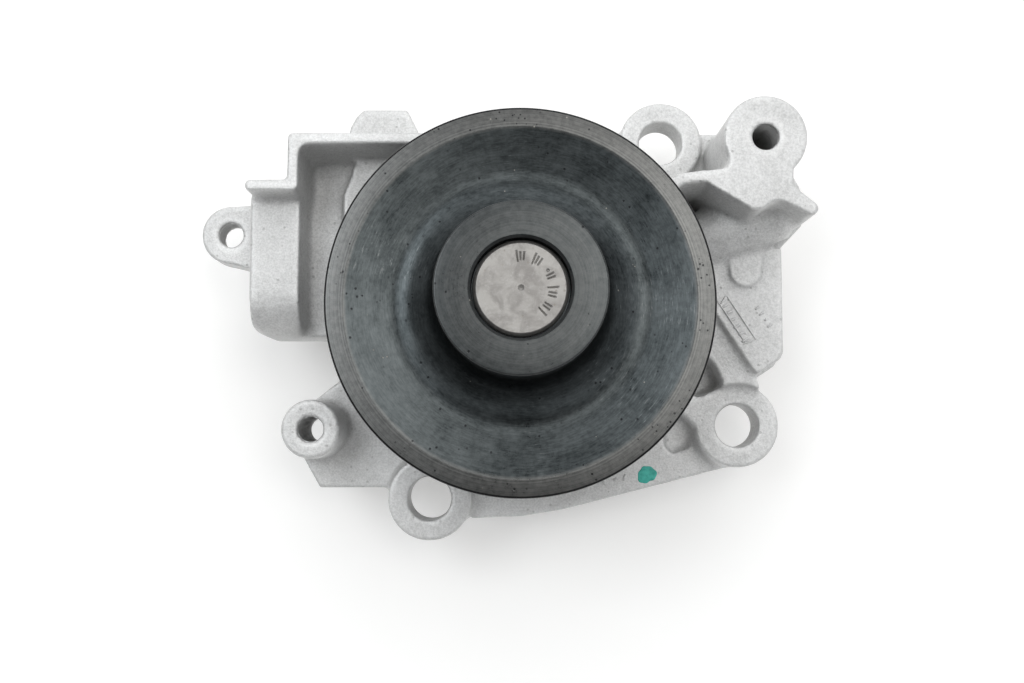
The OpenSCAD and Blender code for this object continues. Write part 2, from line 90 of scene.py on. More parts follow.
class Graph:  # the node tree of a material or of the world
    def __init__(self, tree):
        self.tree = tree
        tree.nodes.clear()

    def add(self, kind, settings=None, sockets=None):
        node = self.tree.nodes.new(kind)
        for name, value in (settings or {}).items():
            setattr(node, name, value)
        for name, value in (sockets or {}).items():
            if isinstance(value, Wire):
                self.tree.links.new(value.socket, node.inputs[name])
            elif value is not None:
                colour = node.inputs[name].type == "RGBA"
                node.inputs[name].default_value = (*value, 1) if colour else value
        return Wire(self, next(s for s in node.outputs if s.enabled)) if node.outputs else node

    def place(self):  # Object coordinates, their three parts, and the distance from the pump axis
        self.spot = self.add("ShaderNodeTexCoord").output("Object")
        parts = self.add("ShaderNodeSeparateXYZ", None, {0: self.spot})
        self.x, self.y, self.z = (parts.output(k) for k in "XYZ")
        self.r = (self.x * self.x + self.y * self.y).root()

    def vector(self, x, y, z):
        return self.add("ShaderNodeCombineXYZ", None, {0: x, 1: y, 2: z})

    def noise(self, vector, scale, detail=2.0, rough=0.5, distort=0.0):
        return self.add("ShaderNodeTexNoise", {"noise_dimensions": "3D"},
                        {"Vector": vector, "Scale": scale, "Detail": detail, "Roughness": rough,
                         "Distortion": distort}).output("Fac")

    def specks(self, vector, scale, size):  # round spots, one in each cell
        cells = self.add("ShaderNodeTexVoronoi", {"feature": "F1"}, {"Vector": vector, "Scale": scale})
        return cells.output("Distance").between(size * 0.6, size, 1.0, 0.0)

    def colourMix(self, share, a, b):
        mix = self.add("ShaderNodeMix", {"data_type": "RGBA"}, {0: share, 6: a, 7: b})
        return Wire(self, mix.socket.node.outputs[2])

    def bump(self, height, strength, distance, under=None):
        return self.add("ShaderNodeBump", None, {"Height": height, "Strength": strength,
                                                 "Distance": distance, "Normal": under})

    def surface(self, **sockets):
        shader = self.add("ShaderNodeBsdfPrincipled", None, sockets)
        self.add("ShaderNodeOutputMaterial", None, {"Surface": shader.output("BSDF")})


def material(name):
    made = bpy.data.materials.new(name)
    made.use_nodes = True
    graph = Graph(made.node_tree)
    graph.material = made
    graph.place()
    return graph


def wear(obj, made):  # puts one material on a whole object
    obj.data.materials.clear()
    obj.data.materials.append(made)


def meshFrom(name, points, faces, attributes=None):  # points in mm
    mesh = bpy.data.meshes.new(name)
    mesh.from_pydata(points * mm, [], faces)
    for key, values in (attributes or {}).items():
        mesh.attributes.new(key, "FLOAT", "POINT").data.foreach_set("value", values.astype(np.float32))
    obj = bpy.data.objects.new(name, mesh)
    scene.collection.objects.link(obj)
    return obj


def tidyMesh(obj, reach=1e-7):  # closes seams and poles, then turns the faces outwards
    made = bmesh.new()
    made.from_mesh(obj.data)
    bmesh.ops.remove_doubles(made, verts=made.verts, dist=reach)
    bmesh.ops.dissolve_degenerate(made, edges=made.edges, dist=reach)
    bmesh.ops.recalc_face_normals(made, faces=made.faces)
    made.to_mesh(obj.data)
    made.free()
    obj.data.shade_smooth()
    return obj


def gridFaces(rows, columns, closeRows=False, closeColumns=False):  # quads between neighbours in a grid
    i, k = np.meshgrid(np.arange(rows if closeRows else rows - 1),
                       np.arange(columns if closeColumns else columns - 1), indexing="ij")
    n, m = (i + 1) % rows, (k + 1) % columns
    return np.stack([i * columns + k, i * columns + m, n * columns + m, n * columns + k], -1).reshape(-1, 4)


def turned(name, outline, steps, sharp=35):
    # turned part: point (r, z) of a closed outline goes to (r cos a, r sin a, z) for each angle a
    a = np.arange(steps) * 2 * np.pi / steps
    r, z = outline[:, 0][:, None], outline[:, 1][:, None]
    points = np.stack([r * np.cos(a), r * np.sin(a), z + 0 * a], -1).reshape(-1, 3)
    obj = tidyMesh(meshFrom(name, points, gridFaces(len(outline), steps, True, True)))
    obj.data.set_sharp_from_angle(angle=math.radians(sharp))
    return obj


def rounded(corners, steps):
    # outline whose corners (r, z, radius) turn into arcs that touch both of their sides
    out = []
    for k, (x, y, radius) in enumerate(corners):
        at = np.array([x, y], float)
        back = np.array(corners[k - 1][:2], float) - at
        on = np.array(corners[(k + 1) % len(corners)][:2], float) - at
        if radius == 0:
            out.append(at[None])
            continue
        back, on = back / np.linalg.norm(back), on / np.linalg.norm(on)
        half = math.acos(float(np.clip(back @ on, -1, 1))) / 2
        centre = at + (back + on) / np.linalg.norm(back + on) * radius / math.sin(half)
        first = at + back * radius / math.tan(half) - centre
        last = at + on * radius / math.tan(half) - centre
        t = np.linspace(0, 1, steps)[:, None]
        sweep = math.acos(float(np.clip(first @ last / radius ** 2, -1, 1)))
        out.append(centre + (np.sin((1 - t) * sweep) * first + np.sin(t * sweep) * last) / math.sin(sweep))
    return np.vstack(out)


# camera, floor and light: lengths in mm, turns in degrees
stage = {"camera": (-1.48, -24.52, 256.68), "tilt": 4.62, "lens": 42.39, "sensor": 36, "clip": 0.005,
         "floor": (0.93, 0.925, 0.915), "floorGlow": 0.18, "floorSize": 6000, "floorGap": 0.02,
         # strength of the world's dark spot, dome and horizon, and the spreads where one turns into the next
         "spot": 0.04, "dome": 1.25, "horizon": 0.60, "skyTint": (0.98, 0.99, 1.0),
         "spotSpread": (0.20, 0.60), "horizonSpread": (0.60, 0.95), "lean": (0.20, 0.65),
         # lamps: place in metres, turn in degrees, size, watts, tint
         "lamps": {"keyLight": ((0.12, 0.10, 0.68), (-8, 10, 0), 0.22, 0.65, (1, 0.985, 0.96)),
                   "fillLight": ((-0.24, 0.11, 0.62), (-10, -21, 0), 0.26, 0.85, (0.95, 0.98, 1))}}


def makeStage():
    camera = bpy.data.objects.new("camera", bpy.data.cameras.new("camera"))
    camera.data.lens, camera.data.sensor_width = stage["lens"], stage["sensor"]
    camera.data.clip_start = stage["clip"]
    camera.location = [v * mm for v in stage["camera"]]
    camera.rotation_euler = (math.radians(stage["tilt"]), 0, 0)
    scene.collection.objects.link(camera)
    scene.camera = camera
    scene.view_settings.view_transform = "Standard"

    half = stage["floorSize"] / 2
    low = cadBox[0][2] / mm - stage["floorGap"]
    corners = np.array([[-half, -half, low], [half, -half, low], [half, half, low], [-half, half, low]])
    floor = meshFrom("floor", corners, [(0, 1, 2, 3)])
    g = material("paper")
    g.surface(**{"Base Color": stage["floor"], "Roughness": 0.9, "Specular IOR Level": 0.1,
                 "Emission Color": stage["floor"], "Emission Strength": stage["floorGlow"]})
    wear(floor, g.material)

    # world: strength = lean * (dome with a dark spot overhead, which fades into the dimmer horizon);
    # the lean makes the right and the back brighter
    world = bpy.data.worlds.new("studio")
    scene.world = world
    world.use_nodes = True
    g = Graph(world.node_tree)
    way = g.add("ShaderNodeTexCoord").output("Generated")
    parts = g.add("ShaderNodeSeparateXYZ", None, {0: way})
    x, y, z = (parts.output(k) for k in "XYZ")
    away = (x * x * 1.4 + (y - 0.02) * (y - 0.02) * 0.7).root()
    dome = away.between(*stage["spotSpread"], stage["spot"], stage["dome"])
    low = away.between(*stage["horizonSpread"])
    lean = 1.0 + x * stage["lean"][0] + y * stage["lean"][1]
    strength = lean * (dome * (1 - low) + stage["horizon"] * low)
    sky = g.add("ShaderNodeBackground", None, {"Color": stage["skyTint"], "Strength": strength})
    g.add("ShaderNodeOutputWorld", None, {"Surface": sky})

    for name, (place, turn, size, watts, tint) in stage["lamps"].items():
        lamp = bpy.data.lights.new(name, "AREA")
        lamp.size, lamp.energy, lamp.color = size, watts, tint
        obj = bpy.data.objects.new(name, lamp)
        obj.location, obj.rotation_euler = place, [math.radians(v) for v in turn]
        scene.collection.objects.link(obj)


makeStage()
print("stage ready")


casting = {"step": 0.40, "outside": 3.0, "band": 7, "margin": 3,  # the last two in cells
           "edgeSpread": 0.26, "filletSpread": 0.85, "creaseSpread": 1.6,  # the last one in cells
           "filletFrom": 1.6, "fade": 0.9,  # no fillet below this height: the mounting face stays flat
           "overrun": 3.0, "threadRoom": 0.7, "threadMouth": 0.7, "flatness": 0.02,
           "light": (0.80, 0.80, 0.795), "dark": (0.50, 0.50, 0.495), "worn": (0.70, 0.70, 0.69),
           "shade": (0.33, 0.325, 0.315), "pit": (0.27, 0.265, 0.26)}


def softened(field, spread):
    # Gaussian average of the field, one axis after the other
    reach = int(math.ceil(3 * spread))
    weights = np.exp(-0.5 * (np.arange(-reach, reach + 1) / spread) ** 2)
    weights /= weights.sum()
    for axis in range(3):
        padded = np.pad(field, [(reach, reach) if k == axis else (0, 0) for k in range(3)], "edge")
        size = field.shape[axis]
        field = sum(w * np.take(padded, range(k, k + size), axis) for k, w in enumerate(weights))
    return field.astype(np.float32)


def sampled(field, low, step, points):
    # value of a grid at free points, mixed linearly from the eight corners around each
    p = (points / step - low).clip(0, np.array(field.shape) - 1.001)
    base = p.astype(int)
    share = p - base
    total = np.zeros(len(points))
    for corner in np.ndindex(2, 2, 2):
        weight = np.prod(np.where(corner, share, 1 - share), 1)
        total += weight * field[tuple((base + corner).T)]
    return total


def castHousing():
    # depth = distance below the CAD casting's surface. The skin lies where the higher of two averages of
    # the depth is zero: a narrow one softens edges and a wide one fills inner corners. Holes stay clean
    source = nodes["housing"].data
    source.calc_loop_triangles()
    points = np.zeros(len(source.vertices) * 3, np.float32)
    source.vertices.foreach_get("co", points)
    corners = np.zeros(len(source.loop_triangles) * 3, np.int32)
    source.loop_triangles.foreach_get("vertices", corners)
    points, same = np.unique((points.reshape(-1, 3) / mm).round(4), axis=0, return_inverse=True)
    corners = same.reshape(-1)[corners].reshape(-1, 3)
    step, margin = casting["step"], casting["margin"]
    grid = vdb.FloatGrid.createLevelSetFromPolygons(
        points.astype(np.float32), triangles=corners.astype(np.uint32),
        transform=vdb.createLinearTransform(voxelSize=step), halfWidth=casting["band"])
    low, high = (np.array(v) for v in grid.evalActiveVoxelBoundingBox())
    low, high = low - margin, high + margin
    field = np.full(tuple(high - low + 1), grid.background, np.float32)
    grid.copyToArray(field, ijk=tuple(int(v) for v in low))
    depth = -field
    shapes = ((-1, 1, 1), (1, -1, 1), (1, 1, -1))
    x, y, z = (((low[k] + np.arange(field.shape[k])) * step).reshape(shapes[k]) for k in range(3))
    body = softened(depth, casting["edgeSpread"] / step)
    filled = softened(depth, casting["filletSpread"] / step)
    filled = filled - (casting["filletFrom"] - z).clip(0, None) * casting["fade"]
    body = np.maximum(body, filled)

    def drilled(metal, away, bottom, top):  # metal without the hole that reaches from bottom to top
        return np.minimum(metal, np.maximum(away, np.maximum(z - top, bottom - z)))

    # machined holes: bolt holes and threads of the record, then the bores of the bearing and the seal
    for mount in frame["record"]["mounts"]:
        if "r_mm" not in mount.get("dims", {}):
            continue
        cx, cy, cz = (v / mm for v in mount["pos_m"])
        half, past = mount["dims"]["length_mm"] / 2, casting["overrun"]
        under = 0 if mount["name"] == "tall_boss_thread" else past
        away = np.sqrt((x - cx) ** 2 + (y - cy) ** 2) - mount["dims"]["r_mm"]
        body = drilled(body, away, cz - half - under, cz + half + past)
        if mount["kind"] == "threaded_hole":  # room for the thread, out of sight behind its mouth
            reach = half - casting["threadMouth"]
            body = drilled(body, away - casting["threadRoom"], cz - reach, cz + reach)
    ringLow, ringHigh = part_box("bearing_outer_ring")
    away = np.sqrt(x ** 2 + y ** 2) - ringHigh[0] / mm
    body = drilled(body, away, ringLow[2] / mm, np.inf)
    body = drilled(body, away, -np.inf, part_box("seal_cup")[1][2] / mm)

    crease = softened(body, casting["creaseSpread"]) - body
    out = vdb.FloatGrid(casting["outside"])
    out.copyFromArray(-body, ijk=tuple(int(v) for v in low))
    out.transform = vdb.createLinearTransform(voxelSize=step)
    out.gridClass = vdb.GridClass.LEVEL_SET
    made, triangles, quads = out.convertToPolygons(isovalue=0.0, adaptivity=casting["flatness"])
    faces = [tuple(f[::-1]) for f in quads.tolist()] + [tuple(f[::-1]) for f in triangles.tolist()]
    obj = meshFrom("castHousing", made.astype(np.float64), faces,
                   {"crease": sampled(crease, low, step, made)})
    obj.data.shade_smooth()
    print("casting:", len(made), "points,", len(triangles) + 2 * len(quads), "triangles")
    return obj


def castAluminium():
    # die-cast skin: tone = cloud + pebble + grain, paler where the crease value is low (worn edges),
    # darker where it is high (painted shade in the inner corners), with scattered pits
    g = material("castAluminium")
    crease = g.add("ShaderNodeAttribute", {"attribute_name": "crease"}).output("Fac")
    cloud = g.noise(g.spot, 90, 3, 0.55)
    grain = g.noise(g.spot, 2600, 3, 0.7)
    pebble = g.noise(g.spot, 900, 2, 0.6)
    pits = g.specks(g.spot, 420, 0.14)
    tone = (cloud.between(0.3, 0.7) * 0.30 + pebble.between(0.3, 0.7) * 0.25
            + grain.between(0.35, 0.65) * 0.45)
    colour = g.colourMix(tone, casting["dark"], casting["light"])
    edge = crease.between(-0.03, -0.16)
    cornerShade = crease.between(0.03, 0.25)
    colour = g.colourMix(edge * 0.15, colour, casting["worn"])
    # painted shade: inner corners are darkened towards the shade colour where shade falls
    colour = g.colourMix(cornerShade * 0.5, colour, casting["shade"])
    colour = g.colourMix(pits * 0.4, colour, casting["pit"])
    rough = 0.52 + pebble * 0.16 - edge * 0.12
    normal = g.bump(grain, 0.5, 0.00012, g.bump(pebble - pits * 0.4, 0.45, 0.00022))
    g.surface(**{"Base Color": colour, "Metallic": 0.55, "Roughness": rough, "Normal": normal})
    return g.material


casting["object"] = castHousing()
wear(casting["object"], castAluminium())
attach(casting["object"], "body")
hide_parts("housing")


threads = {"pitch": 1.0, "rootR": 2.92, "wallR": 3.1, "inset": 0.75, "runOut": 0.9,
           "rowsPerTurn": 12, "columns": 72, "dark": (0.42, 0.42, 0.42), "light": (0.66, 0.66, 0.65)}


def tappedHoles():
    # thread: the radius swings between the tapping radius and the root once in each pitch and climbs one
    # pitch a turn; it runs out at both ends
    points, faces, count = [], [], 0
    a = np.arange(threads["columns"]) * 2 * np.pi / threads["columns"]
    for mount in frame["record"]["mounts"]:
        if mount["kind"] != "threaded_hole":
            continue
        cx, cy, cz = (v / mm for v in mount["pos_m"])
        tip, half = mount["dims"]["r_mm"], mount["dims"]["length_mm"] / 2
        low, high = cz - half + threads["inset"], cz + half - threads["inset"]
        z = np.linspace(low, high, int((high - low) / threads["pitch"] * threads["rowsPerTurn"]))[:, None]
        turn = z / threads["pitch"] - a / (2 * np.pi)
        swing = np.abs((turn % 1) * 2 - 1)
        ends = np.clip(np.minimum(z - low, high - z) / threads["runOut"], 0, 1)
        r = tip + (threads["rootR"] - tip) * np.clip(swing * 1.5 - 0.25, 0, 1) * ends
        r = np.vstack([r, np.full((2, len(a)), threads["wallR"])])
        z = np.vstack([z, [[high]], [[low]]])
        points.append(np.stack([cx + r * np.cos(a), cy + r * np.sin(a), z + 0 * r], -1).reshape(-1, 3))
        faces.append(gridFaces(len(z), len(a), True, True) + count)
        count += len(points[-1])
    obj = tidyMesh(meshFrom("tappedThreads", np.vstack(points), np.vstack(faces)))
    obj.data.set_sharp_from_angle(angle=math.radians(50))
    return obj


def cutMetal():
    # bare cut aluminium with fine drill rings
    g = material("cutAluminium")
    rings = g.noise(g.vector(g.r * 40, 0.0, g.z * 2600), 1.0, 1)
    colour = g.colourMix(rings, threads["dark"], threads["light"])
    g.surface(**{"Base Color": colour, "Metallic": 0.9, "Roughness": 0.32 + rings * 0.1})
    return g.material


threads["object"] = tappedHoles()
wear(threads["object"], cutMetal())
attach(threads["object"], "body")
print("threads ready")


pulley = {"rimFront": 43.8, "ringWidth": 3.4, "rimThick": 3.2, "webBack": 38.2, "hubR": 14.4,
          "hubBack": 39.4, "hubFillet": 8.0, "hubFoot": 40.2, "gap": 0.3, "counterbore": 3.0, "edge": 0.45,
          "arcSteps": 12, "columns": 360,
          # where the finishes change, in mm: heights of dish, rim and hub, radii of the ring and the edge
          "dishFrom": 40.0, "rimFrom": 43.4, "hubFrom": 62.0, "ringFrom": 30.9, "edgeFrom": 34.6,
          "oxideDark": (0.013, 0.016, 0.017), "oxideLight": (0.086, 0.096, 0.099),
          "ringDark": (0.070, 0.072, 0.071), "ringLight": (0.165, 0.164, 0.160),
          "hubDark": (0.040, 0.044, 0.045), "hubLight": (0.090, 0.093, 0.093),
          "black": (0.010, 0.010, 0.011), "scuff": (0.22, 0.23, 0.23), "dust": (0.40, 0.37, 0.32)}


def makePulley():
    # turned from one outline: bore, hub back, web back, rim, front ring, dish, hub and counterbore
    low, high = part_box("pulley")
    outer, back, front = high[0] / mm, low[2] / mm, high[2] / mm
    bore, inner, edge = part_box("shaft")[1][0] / mm, outer - pulley["rimThick"], pulley["edge"]
    gap = bore + pulley["gap"]
    corners = [(bore, pulley["hubBack"], 0), (pulley["hubR"], pulley["hubBack"], 0.4),
               (inner, pulley["webBack"], 1.6), (inner, back, 0.25), (outer, back, edge),
               (outer, pulley["rimFront"], edge), (outer - pulley["ringWidth"], pulley["rimFront"], 1.2),
               (pulley["hubR"], pulley["hubFoot"], pulley["hubFillet"]), (pulley["hubR"], front, 0.35),
               (gap + edge, front, 0.06), (gap, front - edge, 0.06),
               (gap, front - pulley["counterbore"], 0.1), (bore, front - pulley["counterbore"], 0)]
    return turned("beltPulley", rounded(corners, pulley["arcSteps"]), pulley["columns"])


def blackOxide():
    # turned and blackened steel. Tone = cloud + rings around the axis + streaks that run part of a turn
    # + mottle; on top a paler front ring, a black outer edge, pale scuffs, black pits and a little dust
    g = material("blackOxide")
    around = g.vector(g.x / g.r, g.y / g.r, 0.0)
    cloud = g.noise(g.spot, 60, 4, 0.65, 0.8)
    smear = g.noise(g.vector(g.x / g.r * 3.0, g.y / g.r * 3.0, g.r * 260), 1.0, 3, 0.6)
    streaks = g.noise(g.vector(g.x / g.r * 12, g.y / g.r * 12, g.r * 3600), 1.0, 3, 0.7)
    lathe = g.noise(g.vector(g.r * 4200, g.z * 4200, 0.0), 1.0, 2, 0.7)
    mottle = g.noise(g.spot, 1000, 3, 0.7)
    rim = g.z.above(pulley["rimFrom"] * mm)
    wobble = g.noise(around, 5.0, 3, 0.7)
    ringFrom = pulley["ringFrom"] * mm
    ring = g.r.between(ringFrom, ringFrom + 0.0004 + wobble * 0.0012) * rim
    hub = g.z.above(pulley["hubFrom"] * mm)
    dish = (1 - ring) * (1 - hub) * g.z.above(pulley["dishFrom"] * mm)
    tone = (cloud.between(0.3, 0.7) * 0.34 + smear.between(0.3, 0.7) * 0.22
            + streaks.between(0.3, 0.7) * 0.26 + mottle.between(0.35, 0.65) * 0.18)
    colour = g.colourMix(tone, pulley["oxideDark"], pulley["oxideLight"])
    turnedTone = lathe.between(0.3, 0.7) * 0.5 + mottle.between(0.35, 0.65) * 0.3 + smear * 0.2
    ringColour = g.colourMix(turnedTone, pulley["ringDark"], pulley["ringLight"])
    hubColour = g.colourMix(turnedTone, pulley["hubDark"], pulley["hubLight"])
    colour = g.colourMix(ring * 0.85, colour, ringColour)
    colour = g.colourMix(hub * 0.8, colour, hubColour)
    patch = g.noise(around, 1.8, 1)
    scuff = streaks.between(0.60, 0.70) * patch.between(0.50, 0.64) * dish
    colour = g.colourMix(scuff * 0.4, colour, pulley["scuff"])
    dents = g.specks(g.spot, 520, 0.14) * g.noise(g.spot, 170, 1).between(0.46, 0.58)
    dents = dents.highest(g.specks(g.spot, 900, 0.20) * ring * patch.between(0.50, 0.56))
    colour = g.colourMix(dents * 0.8, colour, pulley["black"])
    dust = g.specks(g.spot, 620, 0.11) * g.noise(g.spot, 240, 1).between(0.60, 0.68)
    colour = g.colourMix(dust * 0.45, colour, pulley["dust"])
    edge = g.r.above(pulley["edgeFrom"] * mm) * rim
    colour = g.colourMix(edge * 0.9, colour, pulley["black"])
    rough = 0.19 + cloud * 0.10 + mottle * 0.06 + streaks * 0.05 + dust * 0.3
    height = lathe * (0.4 + ring * 0.5) + streaks * 0.5 + mottle * 0.4 - dents
    normal = g.bump(height, 0.22, 0.00005)
    g.surface(**{"Base Color": colour, "Metallic": 1 - dust, "Roughness": rough, "Normal": normal})
    return g.material


pulley["object"] = makePulley()
wear(pulley["object"], blackOxide())
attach(pulley["object"], "rotor")
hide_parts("pulley")
print("pulley ready")


shaft = {"chamfer": 0.6, "backChamfer": 0.3, "grooveDepth": 0.56, "grooveFit": 1.05, "grooveSpan": 3,
         "grooveRows": 41, "columns": 360, "faceRows": 96, "endFrom": 61.0, "dimpleR": 0.55,
         "dimpleDepth": 0.35, "markR": 5.25, "markDepth": 0.2, "markBlur": 0.14, "tickHalf": 0.95,
         "pairHalf": 0.684, "tickWide": 0.10, "pairGap": 0.3, "dotR": 0.22,
         "ground": (0.32, 0.31, 0.295), "stained": (0.22, 0.21, 0.20), "bright": (0.42, 0.41, 0.40),
         "pit": (0.22, 0.20, 0.18),
         # angle in degrees from +X, and kind: 0 tick, 1 pair of ticks, 2 dot
         "marks": ((97, 0), (88, 1), (66, 0), (57, 1), (33, 2), (22, 1), (1, 0), (-12, 1), (-35, 1),
                   (-48, 0))}


def faceRelief(r, a):
    # depth of the end face: a dimple in the centre, faint turned rings, a row of stamped ticks and a dot
    depth = shaft["dimpleDepth"] * np.clip(1 - r / shaft["dimpleR"], 0, 1) ** 0.8
    depth = depth + 0.0015 * np.sin(r * 9.0) + 0.001 * np.sin(r * 23.0 + 1.0)
    for angle, kind in shaft["marks"]:
        turn = (a - math.radians(angle) + np.pi) % (2 * np.pi) - np.pi
        v, u = turn * shaft["markR"], r - shaft["markR"]
        if kind == 2:
            away = np.hypot(u, v) - shaft["dotR"]
        else:
            side = np.abs(np.abs(v) - (shaft["pairGap"] if kind else 0)) - shaft["tickWide"]
            away = np.maximum(side, np.abs(u) - shaft["pairHalf" if kind else "tickHalf"])
        depth = depth + shaft["markDepth"] * np.clip(0.5 - away / shaft["markBlur"], 0, 1)
    return depth


def makeShaft():
    # turned bar: radius as a function of height, then the end face as a depth over radius and angle
    low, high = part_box("shaft")
    radius, bottom, top = high[0] / mm, low[2] / mm, high[2] / mm
    cut = shaft["chamfer"]
    rows = [[box[2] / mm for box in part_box(name)] for name in ("rear_balls", "front_balls")]
    span = np.linspace(-shaft["grooveSpan"], shaft["grooveSpan"], shaft["grooveRows"])
    z = np.concatenate([[bottom, bottom + shaft["backChamfer"]],
                        *((under + over) / 2 + span for under, over in rows),
                        [top - 8, top - cut - 0.1, top - cut]])
    r = np.full(len(z), radius)
    for under, over in rows:
        groove = (over - under) / 2 * shaft["grooveFit"]
        centre = radius - shaft["grooveDepth"] + groove
        r = np.minimum(r, centre - np.sqrt(np.clip(groove ** 2 - (z - (under + over) / 2) ** 2, 0, None)))
    r[0] = radius - shaft["backChamfer"]
    rim = radius - cut
    inner = np.concatenate([[radius - 0.2, rim + 0.12, rim], np.linspace(rim - 0.08, 0, shaft["faceRows"])])
    a = np.arange(shaft["columns"]) * 2 * np.pi / shaft["columns"]
    rFace = inner[:, None] + 0 * a
    zFace = np.where(rFace < rim, top - faceRelief(rFace, a + 0 * rFace), top - (rFace - rim).clip(0, None))
    radii = np.vstack([0 * a[None], r[:, None] + 0 * a, rFace])
    heights = np.vstack([bottom + 0 * a[None], z[:, None] + 0 * a, zFace])
    points = np.stack([radii * np.cos(a), radii * np.sin(a), heights], -1).reshape(-1, 3)
    obj = tidyMesh(meshFrom("drivenShaft", points, gridFaces(len(radii), len(a), False, True)))
    obj.data.set_sharp_from_angle(angle=math.radians(50))
    return obj


def groundSteel():
    # ground bar, with a paler stained end face: fine turned rings, small stains and pits
    g = material("groundSteel")
    end = g.z.above(shaft["endFrom"] * mm)
    rings = g.noise(g.vector(g.r * 3400, 0.0, g.z * 2400), 1.0, 2, 0.6)
    stain = g.noise(g.spot, 330, 3, 0.6, 0.5)
    grain = g.noise(g.spot, 2100, 2, 0.6)
    pits = g.specks(g.spot, 800, 0.2) * g.noise(g.spot, 300, 1).between(0.5, 0.62)
    colour = g.colourMix(stain.between(0.35, 0.7), shaft["ground"], shaft["stained"])
    colour = g.colourMix(grain.between(0.45, 0.8) * 0.35, colour, shaft["bright"])
    colour = g.colourMix(pits * 0.6, colour, shaft["pit"])
    rough = 0.26 + end * 0.14 + grain * 0.1 + stain * 0.06
    normal = g.bump(rings * 0.6 + grain * 0.5 * end - pits, 0.3, 0.00005)
    g.surface(**{"Base Color": colour, "Metallic": 0.9, "Roughness": rough, "Normal": normal})
    return g.material


shaft["object"] = makeShaft()
wear(shaft["object"], groundSteel())
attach(shaft["object"], "rotor")
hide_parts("shaft")
print("shaft ready")


marks = {"blockTop": 12.5, "plateTop": 5.0, "rise": 0.35, "sunk": 0.3, "rows": 7, "columns": 20,
         "square": 0.45, "crown": 0.6,  # powers that make the outline squarer and the crown flatter
         "film": 0.10, "filmDip": 0.04, "filmGap": 0.03, "filmFoot": -0.25, "dotColumns": 96,
         "paintDark": (0.02, 0.33, 0.27), "paintLight": (0.06, 0.50, 0.42),
         # middle x, middle y, half length, half width, angle: plain bars beside a thin frame line
         "block": ((41.9, 2.5, 0.85, 0.28, 30), (42.7, 1.1, 0.85, 0.28, 30), (43.5, -0.3, 0.55, 0.28, 30),
                   (44.3, -1.7, 0.85, 0.28, 30), (45.1, -3.1, 0.7, 0.28, 30), (45.9, -4.5, 0.85, 0.28, 30),
                   (45.2, 0.05, 5.4, 0.16, -57), (42.85, -0.3, 5.4, 0.16, -57), (41.55, 3.7, 1.05, 0.16, 57),
                   (46.5, -4.95, 1.05, 0.16, 20), (48.5, 2.1, 0.6, 0.24, 35), (49.3, 0.9, 0.6, 0.24, 35),
                   (50.1, -0.3, 0.3, 0.24, 35), (50.9, -1.5, 0.6, 0.24, 35)),
         "plate": ((15.2, -33.6, 0.7, 0.3, 30), (17.6, -33.2, 0.8, 0.3, 100), (19.9, -32.9, 0.35, 0.3, 20),
                   (21.9, -32.5, 0.8, 0.3, 75)),
         "dot": (26.5, -31.9, 1.85)}  # middle x, middle y, radius


def raisedMarks():
    # low pill: half an ellipsoid with a squarer outline, (long cos v, wide sin v) cos u at height
    # rise sin u, turned by its angle, with its foot sunk in the casting
    bars = [(*m, marks[base]) for base, group in (("blockTop", "block"), ("plateTop", "plate"))
            for m in marks[group]]
    x, y, long, wide, angle, base = (v[:, None, None] for v in np.array(bars, float).T)
    rows, columns, power = marks["rows"], marks["columns"], marks["square"]
    u = np.linspace(0, np.pi / 2, rows)[None, :, None]
    v = (np.arange(columns) * 2 * np.pi / columns)[None, None, :]
    cosV, sinV, narrowing = np.cos(v), np.sin(v), np.cos(u) ** marks["crown"]
    px = long * np.sign(cosV) * np.abs(cosV) ** power * narrowing
    py = wide * np.sign(sinV) * np.abs(sinV) ** power * narrowing
    pz = marks["rise"] * np.sin(u) + 0 * px
    under = np.full_like(pz[:, :1], -marks["sunk"])
    px, py = (np.concatenate([q[:, :1] * 0, q[:, :1], q], 1) for q in (px, py))
    pz = np.concatenate([under, under, pz], 1)
    t = np.radians(angle)
    points = np.stack([x + px * np.cos(t) - py * np.sin(t), y + px * np.sin(t) + py * np.cos(t),
                       base + pz], -1)
    first = np.arange(len(bars))[:, None, None] * (rows + 2) * columns
    faces = (gridFaces(rows + 2, columns, False, True)[None] + first).reshape(-1, 4)
    return tidyMesh(meshFrom("castMarks", points.reshape(-1, 3), faces))


def paintDot():
    # thin film: radius wanders a little with the angle, thickness falls off at the rim
    cx, cy, radius = marks["dot"]
    a = np.arange(marks["dotColumns"]) * 2 * np.pi / marks["dotColumns"]
    edge = radius * (1 + 0.10 * np.sin(2 * a + 0.6) + 0.07 * np.sin(3 * a + 2.0) + 0.04 * np.sin(7 * a))
    flat = np.linspace(0, 0.9, 12)
    s = np.concatenate([flat, [0.96, 1.0, 1.0, 0.0]])[:, None]
    z = np.concatenate([marks["film"] - marks["filmDip"] * flat ** 2,
                        [0.05, 0.0, marks["filmFoot"], marks["filmFoot"]]])[:, None]
    points = np.stack([cx + s * edge * np.cos(a), cy + s * edge * np.sin(a),
                       marks["plateTop"] + marks["filmGap"] + z + 0 * a], -1).reshape(-1, 3)
    return tidyMesh(meshFrom("paintDot", points, gridFaces(len(s), len(a), False, True)))


def tealPaint():
    # brushed-on paint: uneven thickness shows as lighter and darker patches
    g = material("tealPaint")
    thick = g.noise(g.spot, 900, 3, 0.6)
    colour = g.colourMix(thick.between(0.3, 0.7), marks["paintDark"], marks["paintLight"])
    g.surface(**{"Base Color": colour, "Roughness": 0.4 + thick * 0.15,
                 "Normal": g.bump(thick, 0.4, 0.0001)})
    return g.material


marks["object"] = raisedMarks()
wear(marks["object"], castAluminium())
marks["paint"] = paintDot()
wear(marks["paint"], tealPaint())
for piece in (marks["object"], marks["paint"]):
    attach(piece, "body")
print("marks ready")


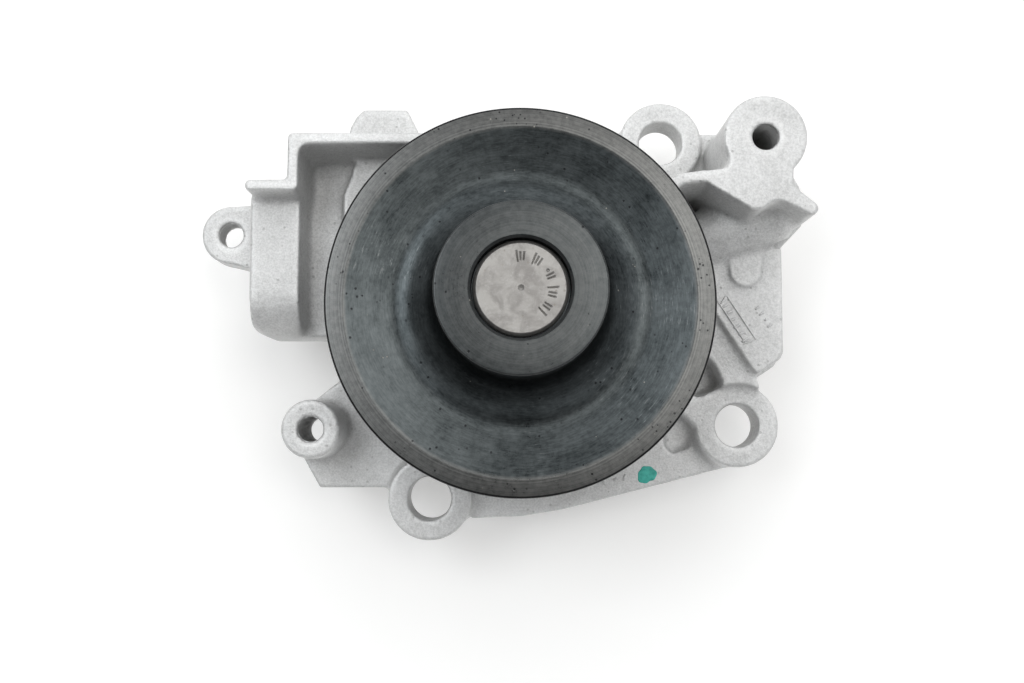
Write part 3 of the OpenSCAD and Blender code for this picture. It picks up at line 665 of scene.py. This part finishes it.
def turnedSteel(name, dark, light, rough):
    # turned or pressed steel: tone = soft cloud + rings about the pump axis
    g = material(name)
    rings = g.noise(g.vector(g.r * 3000, g.z * 3000, 0.0), 1.0, 2, 0.6)
    cloud = g.noise(g.spot, 140, 3, 0.6)
    colour = g.colourMix(cloud.between(0.3, 0.7) * 0.6 + rings * 0.4, dark, light)
    g.surface(**{"Base Color": colour, "Metallic": 1.0, "Roughness": rough + cloud * 0.14,
                 "Normal": g.bump(rings, 0.25, 0.00004)})
    return g.material


def moulded(name, dark, light, rough, grainSize, depth):
    # moulded plastic or rubber: tone = pale bloom + fine spark-eroded grain
    g = material(name)
    grain = g.noise(g.spot, 1 / (grainSize * mm), 2, 0.6)
    cloud = g.noise(g.spot, 110, 3, 0.55)
    colour = g.colourMix(cloud.between(0.3, 0.72) * 0.7 + grain * 0.3, dark, light)
    g.surface(**{"Base Color": colour, "Roughness": rough + grain * 0.12 - cloud * 0.1,
                 "Normal": g.bump(grain, 0.3, depth * mm)})
    return g.material


# nodes: maker, name, dark and light colour, roughness, and for moulded ones grain size and depth in mm
finishes = {
    ("bearing_outer_ring", "front_balls", "rear_balls"):
        (turnedSteel, "bearingSteel", (0.58, 0.58, 0.58), (0.74, 0.74, 0.73), 0.16),
    ("seal_cup", "seal_retainer", "slinger"):
        (turnedSteel, "pressedSteel", (0.46, 0.45, 0.42), (0.64, 0.62, 0.58), 0.26),
    ("seal_spring",):
        (turnedSteel, "springWire", (0.40, 0.40, 0.40), (0.56, 0.56, 0.56), 0.22),
    ("impeller_hub",):
        (turnedSteel, "bushSteel", (0.50, 0.49, 0.47), (0.66, 0.65, 0.63), 0.24),
    ("front_bearing_seal", "rear_bearing_seal", "seal_bellows", "seat_boot"):
        (moulded, "sealRubber", (0.012, 0.012, 0.013), (0.030, 0.030, 0.032), 0.48, 0.35, 0.03),
    ("back_gasket",):
        (moulded, "gasketRubber", (0.016, 0.016, 0.017), (0.040, 0.040, 0.040), 0.58, 0.5, 0.04),
    ("carbon_face",):
        (moulded, "carbonRing", (0.018, 0.018, 0.020), (0.045, 0.045, 0.050), 0.34, 0.2, 0.01),
    ("ceramic_seat",):
        (moulded, "ceramicRing", (0.72, 0.70, 0.65), (0.84, 0.82, 0.78), 0.28, 0.3, 0.01),
    ("impeller",):
        (moulded, "glassFilledPlastic", (0.020, 0.020, 0.022), (0.052, 0.052, 0.055), 0.46, 0.45, 0.03),
    ("front_cage", "rear_cage"):
        (moulded, "cageNylon", (0.56, 0.47, 0.28), (0.72, 0.62, 0.41), 0.40, 0.4, 0.02)}
for names, (maker, *values) in finishes.items():
    finish = maker(*values)
    for name in names:
        wear(nodes[name], finish)
print("finishes ready")
